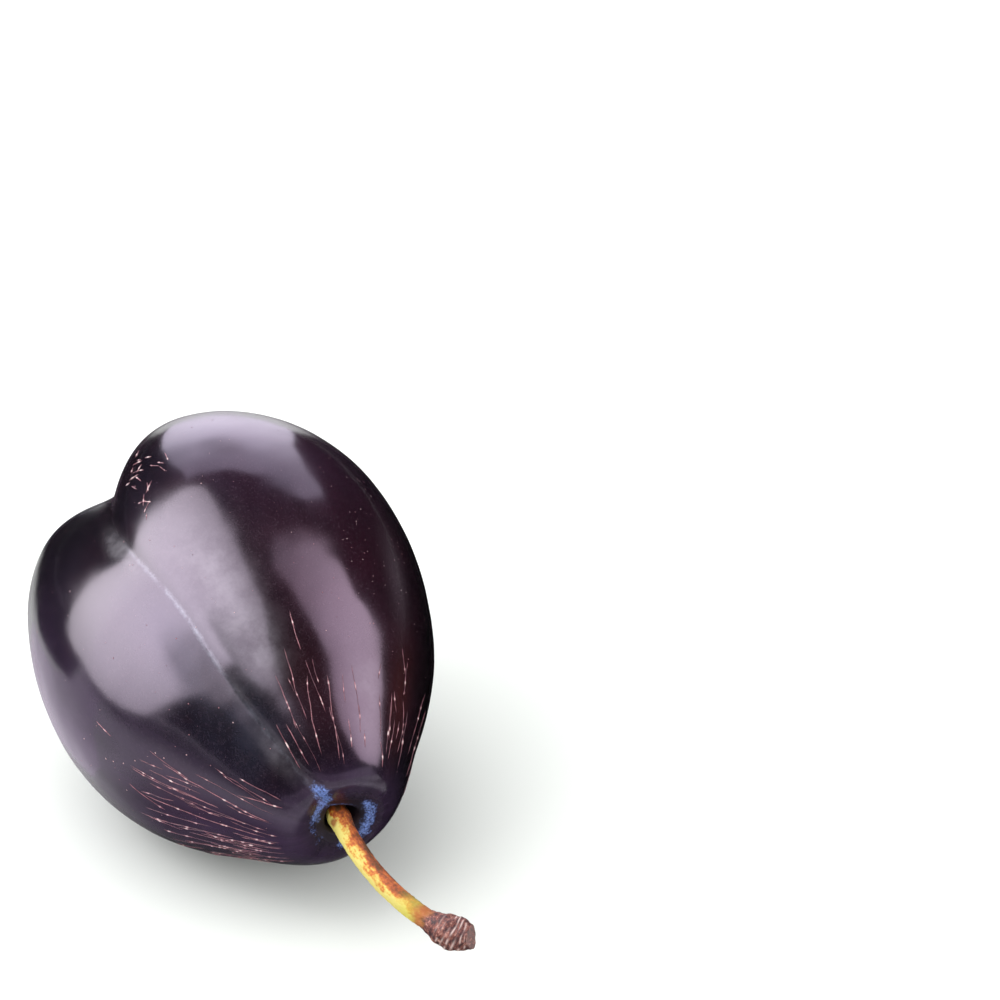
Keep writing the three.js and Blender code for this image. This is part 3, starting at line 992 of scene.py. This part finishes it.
for fleck in FLECKS * 2:
    far, turned = fleck[0] + random.uniform(-3, 3), fleck[1] + random.uniform(-2.5, 2.5)
    ends = (far, turned), (far - random.uniform(1, 4), turned + random.uniform(-4, 4))
    marks.append(cork_seam(*ends, random.uniform(0.022, 0.042), random, random.uniform(0.05, 0.45)))
for _ in range(PORES):
    height, turned = random.uniform(-0.98, 0.96), random.uniform(-180, 180)
    size = 0.03 + 0.05 * random.random() ** 2
    marks.append(cork_dot(math.degrees(math.acos(height)), turned, size, 0.6 * random.random()))
for _ in range(PORES_ON_FLANK):
    size = random.uniform(0.025, 0.05)
    place = random.uniform(62, 112), random.uniform(-110, -62)
    marks.append(cork_dot(*place, size, random.uniform(0.3, 0.9)))
marks += [cork_dot(*place, 0.09, 0.55) for place in PLACED_DOTS]
print("seams and dots drawn:", len(marks))

# %% [markdown]
# All the marks are joined into one piece, because they are one material and lie on one skin. Those under
# the fruit, where it rests, are left out.

# %% Russet marks
CLEAR_OF_TABLE = 0.4 * MM
mark_points, mark_faces, mark_paleness = [], [], []
for points, faces, pale in marks:
    laid = laid_down(points)
    if laid[:, 2].min() < CLEAR_OF_TABLE:
        continue
    first = sum(len(part) for part in mark_points)
    mark_faces += [[first + point for point in face] for face in faces]
    mark_points.append(laid)
    mark_paleness.append(pale)
russet_marks = mesh_piece("russet_marks", np.vstack(mark_points), mark_faces)
keep_on_points(russet_marks, "paleness", np.concatenate(mark_paleness))
print("cork seams and dots:", len(mark_points), "faces:", len(mark_faces))

# %% [markdown]
# Russet is cork: dead dry cells under a trace of wax, from reddish brown where the seam is thin to cream
# where it has dried and lifted. The fine noise is a tenth of a millimetre across, like the cells' clumps.
# The wax gives the seams nearly as much gloss as the skin round them.

# %% Cork material
tree = new_material("russet_cork", russet_marks)
paleness = add_node(tree, "ShaderNodeAttribute", attribute_name="paleness").outputs["Fac"]
here = add_node(tree, "ShaderNodeNewGeometry")
crumbs = add_node(tree, "ShaderNodeTexNoise", {"Vector": here, "Scale": 6000.0, "Detail": 2.0})
cork_level = add_node(
    tree, "ShaderNodeMath", {0: crumbs, 1: 0.35, 2: paleness}, operation="MULTIPLY_ADD"
)
cork_ramp = add_node(tree, "ShaderNodeValToRGB", {"Fac": cork_level})
stops = cork_ramp.color_ramp.elements
stops[0].position, stops[0].color = 0.2, linear("#47212f")
stops[1].position, stops[1].color = 0.9583, linear("#dfc6c6")
stops.new(0.55).color = linear("#9a636c")
cork_shader = add_node(
    tree, "ShaderNodeBsdfPrincipled", {"Base Color": cork_ramp, "Roughness": 0.34, "IOR": 1.42}
)
add_node(tree, "ShaderNodeOutputMaterial", {"Surface": cork_shader})
print("cork material nodes:", len(tree.nodes))

# %% [markdown]
# The stem is a tapering tube along a smooth curve. It swells a little at its foot, which stands in the
# pit, and ends in the knob that tore off the twig. The knob is ringed by the scars of bud scales. The
# same path and radius made the CAD stem, and here the bark gets its lengthwise ridges, its bumps and the
# scars, which are each about a tenth of a millimetre high.

# %% The stem's path and its bark
STEM_PATH = np.array([(0, 0, 24.4), (0.2, 1.7, 37.2), (-5.2, -2.0, 43.2), (-5.5, -3.8, 44.8)])
STEM_RADIUS = 1.05
KNOB_RADIUS = 1.75
KNOB_LENGTH = 5.4
KNOB_SWELLS = 0.55
KNOB_ROUNDED = {"share": 0.22, "by": 0.5}
FOOT = {"rise": 0.18, "at": 1.6, "spread": 1.2, "sunk": 0.5}
SCARS = {"apart": 0.55, "height": 0.06, "width": 0.085}
BARK_HEIGHTS = {
    "facets": 0.13, "long ridges": 0.03, "short ridges": 0.02, "lumps": 0.15, "torn end": 0.12,
}


def stem_centre(share):
    """A point of the stem's curve, where share runs from 0 at the foot to 1 at the knob's end."""
    share = share[:, None]
    rest = 1 - share
    return (
        rest**3 * STEM_PATH[0]
        + 3 * rest**2 * share * STEM_PATH[1]
        + 3 * rest * share**2 * STEM_PATH[2]
        + share**3 * STEM_PATH[3]
    )


def bark_radius(along, length, turned):
    """The stem's radius with its bark, where turned is the angle round it, in radians."""
    to_end = length - along
    foot = FOOT["rise"] * bell(along - FOOT["at"], FOOT["spread"])
    knob_rise = ramp((KNOB_LENGTH - to_end) / (KNOB_SWELLS * KNOB_LENGTH))
    rounded_end = KNOB_ROUNDED["by"] * (1 - ramp(to_end / (KNOB_ROUNDED["share"] * KNOB_LENGTH)))
    plain = STEM_RADIUS + foot + (KNOB_RADIUS - STEM_RADIUS) * knob_rise - rounded_end
    facets = BARK_HEIGHTS["facets"] * np.cos(3 * turned + 0.5 * to_end)
    unrolled = np.stack([np.cos(turned), np.sin(turned), 0.45 * along + 0 * turned], axis=-1)
    ridges = BARK_HEIGHTS["long ridges"] * waves(unrolled, 1.1, 21)
    ridges = ridges + BARK_HEIGHTS["short ridges"] * waves(unrolled * (1, 1, 3), 0.5, 22)
    lumps = BARK_HEIGHTS["lumps"] * knob_rise * waves(unrolled * (1, 1, 2.0), 0.8, 23)
    scars = SCARS["height"] * scar_share(along, length, turned)
    return plain + knob_rise * facets + ridges + lumps + scars


def scar_share(along, length, turned):
    """1 on the crest of a scar ring of the knob and 0 between the rings."""
    to_end = length - along
    unrolled = np.stack([np.cos(turned), np.sin(turned), 0.8 * along + 0 * turned], axis=-1)
    slant = 0.3 * np.sin(turned + 0.6) + 0.12 * waves(unrolled, 1.6, 24)
    past_ring = (to_end + slant) % SCARS["apart"] - 0.5 * SCARS["apart"]
    on_knob = ramp((KNOB_LENGTH - 1.6 - to_end) / 1.2) * ramp(to_end / 0.3)
    unbroken = ramp(0.4 + 0.9 * waves(unrolled * (1.4, 1.4, 1), 0.9, 25))
    return bell(past_ring, SCARS["width"]) * on_knob * unbroken


foot_to_end = float(np.linalg.norm(STEM_PATH[-1] - STEM_PATH[0]))
print("straight from the foot to the knob's end, mm:", round(foot_to_end, 1))

# %% [markdown]
# The mesh follows the path in even steps of length, so its rings are first placed along a finely cut copy
# of the curve. The knob's end is closed by smaller and smaller rings, roughened where it tore off.

# %% Stem mesh
STEM_COLUMNS, STEM_RINGS = 84, 330
fine_share = np.linspace(0, 1, 2001)
fine_centre = stem_centre(fine_share)
fine_along = np.append(0, np.cumsum(np.linalg.norm(np.diff(fine_centre, axis=0), axis=1)))
stem_length = fine_along[-1]
along = np.linspace(-FOOT["sunk"], stem_length, STEM_RINGS)
centre = stem_centre(np.interp(along, fine_along, fine_share))
centre[:, 2] += np.minimum(along, 0)
forward = np.gradient(centre, axis=0)
forward /= np.linalg.norm(forward, axis=1, keepdims=True)
side = np.cross((0.0, 1.0, 0.0), forward)
side /= np.linalg.norm(side, axis=1, keepdims=True)
front = np.cross(side, forward)
turned = np.linspace(0, 2 * math.pi, STEM_COLUMNS, endpoint=False)[None, :] + 0 * along[:, None]
along = along[:, None] + 0 * turned
bark_at = bark_radius(along, stem_length, turned)
stem_points = centre[:, None, :] + bark_at[..., None] * (
    np.sin(turned)[..., None] * side[:, None, :] + np.cos(turned)[..., None] * front[:, None, :]
)

END_SHARES = (0.86, 0.7, 0.52, 0.34, 0.16)
TIP_RISE = 0.1
TIP_SCAR = 0.2
end_rings = []
for inwards in END_SHARES:
    broken = BARK_HEIGHTS["torn end"] * waves(stem_points[-1], 0.7, 31 + int(10 * inwards))
    broken = broken + BARK_HEIGHTS["torn end"] * (1 - inwards)
    ring = centre[-1] + inwards * (stem_points[-1] - centre[-1])
    end_rings.append(ring + broken[:, None] * forward[-1])
torn_end = np.stack(end_rings)
all_rings = np.concatenate([stem_points, torn_end])
stem_tips = np.stack([centre[0], centre[-1] + TIP_RISE * forward[-1]])
stem_grown = np.vstack([all_rings.reshape(-1, 3), stem_tips])
stem_bark = mesh_piece("stem_bark", laid_down(stem_grown), ringed_faces(len(all_rings), STEM_COLUMNS))
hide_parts("stem")
unrolled = np.stack([np.cos(turned) * STEM_RADIUS, np.sin(turned) * STEM_RADIUS, along], axis=-1)
end_places = [unrolled[-1] * (inwards, inwards, 1.0) for inwards in END_SHARES]
unrolled = np.concatenate([unrolled, np.stack(end_places)]).reshape(-1, 3)
keep_on_points(stem_bark, "unrolled", np.vstack([unrolled, (0, 0, 0), (0, 0, stem_length)]))
scars = scar_share(along, stem_length, turned)
scars = np.concatenate([scars.ravel(), np.full(len(end_rings) * STEM_COLUMNS + 2, TIP_SCAR)])
keep_on_points(stem_bark, "scar", scars)
print("stem length, mm:", round(float(stem_length), 1), "triangles:", 2 * len(stem_bark.data.polygons))

# %% [markdown]
# Young bark is green under a thin skin that the sun turns straw yellow and then orange brown, so the
# stem is pale on its shaded side and brown on its sunny side, with blotches a millimetre or two across.
# One brown knot sits near the foot. The knob is older and greyer, with pale scar rings and dark cracks
# between them. Bark is matt with hardly any gloss. The material reads the bark's unrolled place: across,
# round and along, in millimetres.

# %% Bark material: its place and its noises
tree = new_material("young_bark", stem_bark)
unrolled_at = add_node(tree, "ShaderNodeAttribute", attribute_name="unrolled").outputs["Vector"]
scar = add_node(tree, "ShaderNodeAttribute", attribute_name="scar").outputs["Fac"]
parts = add_node(tree, "ShaderNodeSeparateXYZ", {"Vector": unrolled_at})
sunny, along_bark = parts.outputs["X"], parts.outputs["Z"]
stretched = add_node(
    tree, "ShaderNodeVectorMath", {0: unrolled_at, 1: (1.0, 1.0, 0.4)}, operation="MULTIPLY"
)
for name, (drawn_along, scale, detail, roughness) in {
    # What the noise is drawn along, its scale per millimetre, its detail and its roughness.
    "bark_blotches": (stretched, 0.9, 5.0, 0.65),
    "fine_mottle": (unrolled_at, 3.2, 4.0, 0.6),
    "crumbling": (unrolled_at, 2.2, 6.0, 0.75),
}.items():
    texture = {"Vector": drawn_along, "Scale": scale, "Detail": detail, "Roughness": roughness}
    noise[name] = add_node(tree, "ShaderNodeTexNoise", texture)
tan_level = -1.63
for tanning, weight in ((noise["bark_blotches"], 2.9), (sunny, 0.6), (noise["fine_mottle"], 1.0)):
    tan_level = add_node(
        tree, "ShaderNodeMath", {0: tanning, 1: weight, 2: tan_level}, operation="MULTIPLY_ADD"
    )
print("bark noises:", [name for name in noise if name not in NOISES])

# %% [markdown]
# Two ramps turn these levels into tones, one for the smooth bark and one for the crumbling knob. The
# other colours lie over them where the bark's place says: green towards the knob, an orange edge where
# the knob begins, a dark foot in the hollow, and the brown knot.

# %% Bark material: its colours
KNOT_AT = (-0.48, 0.93, 2.5)
tones = {}
for name, (level, (first, *between, last)) in {
    # The level that the ramp reads, and the place and the colour of each of its stops.
    "bark": (
        tan_level,
        [(0.08, "#c4b662"), (0.28, "#bd9c42"), (0.46, "#b3601c"), (0.62, "#9a4113"), (0.8, "#7a2e0f"),
         (1.0, "#4a1e0c")],
    ),
    "knob": (
        noise["crumbling"], [(0.4, "#220f12"), (0.48, "#4e2726"), (0.57, "#7a4539"), (0.7, "#bd9a8e")]
    ),
}.items():
    tones[name] = add_node(tree, "ShaderNodeValToRGB", {"Fac": level})
    stops = tones[name].color_ramp.elements
    for stop, (position, tone) in zip(stops, (first, last)):
        stop.position, stop.color = position, linear(tone)
    for position, tone in between:
        stops.new(position).color = linear(tone)

uneven_along = add_node(
    tree, "ShaderNodeMath", {0: noise["bark_blotches"], 1: 2.4, 2: along_bark}, operation="MULTIPLY_ADD"
)
from_knot = add_node(tree, "ShaderNodeVectorMath", {0: unrolled_at, 1: KNOT_AT}, operation="DISTANCE")
knob_start = stem_length - KNOB_LENGTH
for name, (faded_by, levels, strengths) in {
    # What the share fades by, that thing's levels in millimetres, and the share at each.
    "green_zone": (along_bark, (13.0, 15.8), (0.04, 0.55)),
    "on_knob": (uneven_along, (knob_start - 0.1, knob_start + 1.9), (0.0, 1.0)),
    "shaded_foot": (along_bark, (0.0, 1.3), (0.8, 0.0)),
    "brown_knot": (from_knot, (0.2, 0.62), (0.85, 0.0)),
}.items():
    growing = dict(zip(RANGE_INPUTS, levels + strengths))
    share[name] = add_node(
        tree, "ShaderNodeMapRange", {"Value": faded_by, **growing}, interpolation_type="SMOOTHSTEP"
    )
before_knob = add_node(tree, "ShaderNodeMath", {0: 1.0, 1: share["on_knob"]}, operation="SUBTRACT")
knob_edge = add_node(tree, "ShaderNodeMath", {0: share["on_knob"], 1: before_knob}, operation="MULTIPLY")
knob_edge = add_node(
    tree, "ShaderNodeMath", {0: knob_edge, 1: 3.0}, operation="MULTIPLY", use_clamp=True
)
scarred = add_node(
    tree, "ShaderNodeMix", {0: scar, 6: tones["knob"], 7: linear("#c4aaa4")}, data_type="RGBA"
)
bark_colour = tones["bark"]
for layer, tone in (
    (share["green_zone"], linear("#b3aa2c")),
    (share["on_knob"], scarred),
    (knob_edge, linear("#9c4a16")),
    (share["shaded_foot"], linear("#3c3116")),
    (share["brown_knot"], linear("#7c3511")),
):
    bark_colour = add_node(tree, "ShaderNodeMix", {0: layer, 6: bark_colour, 7: tone}, data_type="RGBA")
bark_bump = add_node(
    tree, "ShaderNodeBump", {"Height": noise["fine_mottle"], "Strength": 0.6, "Distance": 0.08 * MM}
)
finish = {"Roughness": 0.62, "IOR": 1.4, "Normal": bark_bump}
bark_shader = add_node(tree, "ShaderNodeBsdfPrincipled", {"Base Color": bark_colour, **finish})
add_node(tree, "ShaderNodeOutputMaterial", {"Surface": bark_shader})
print("bark material nodes:", len(tree.nodes))
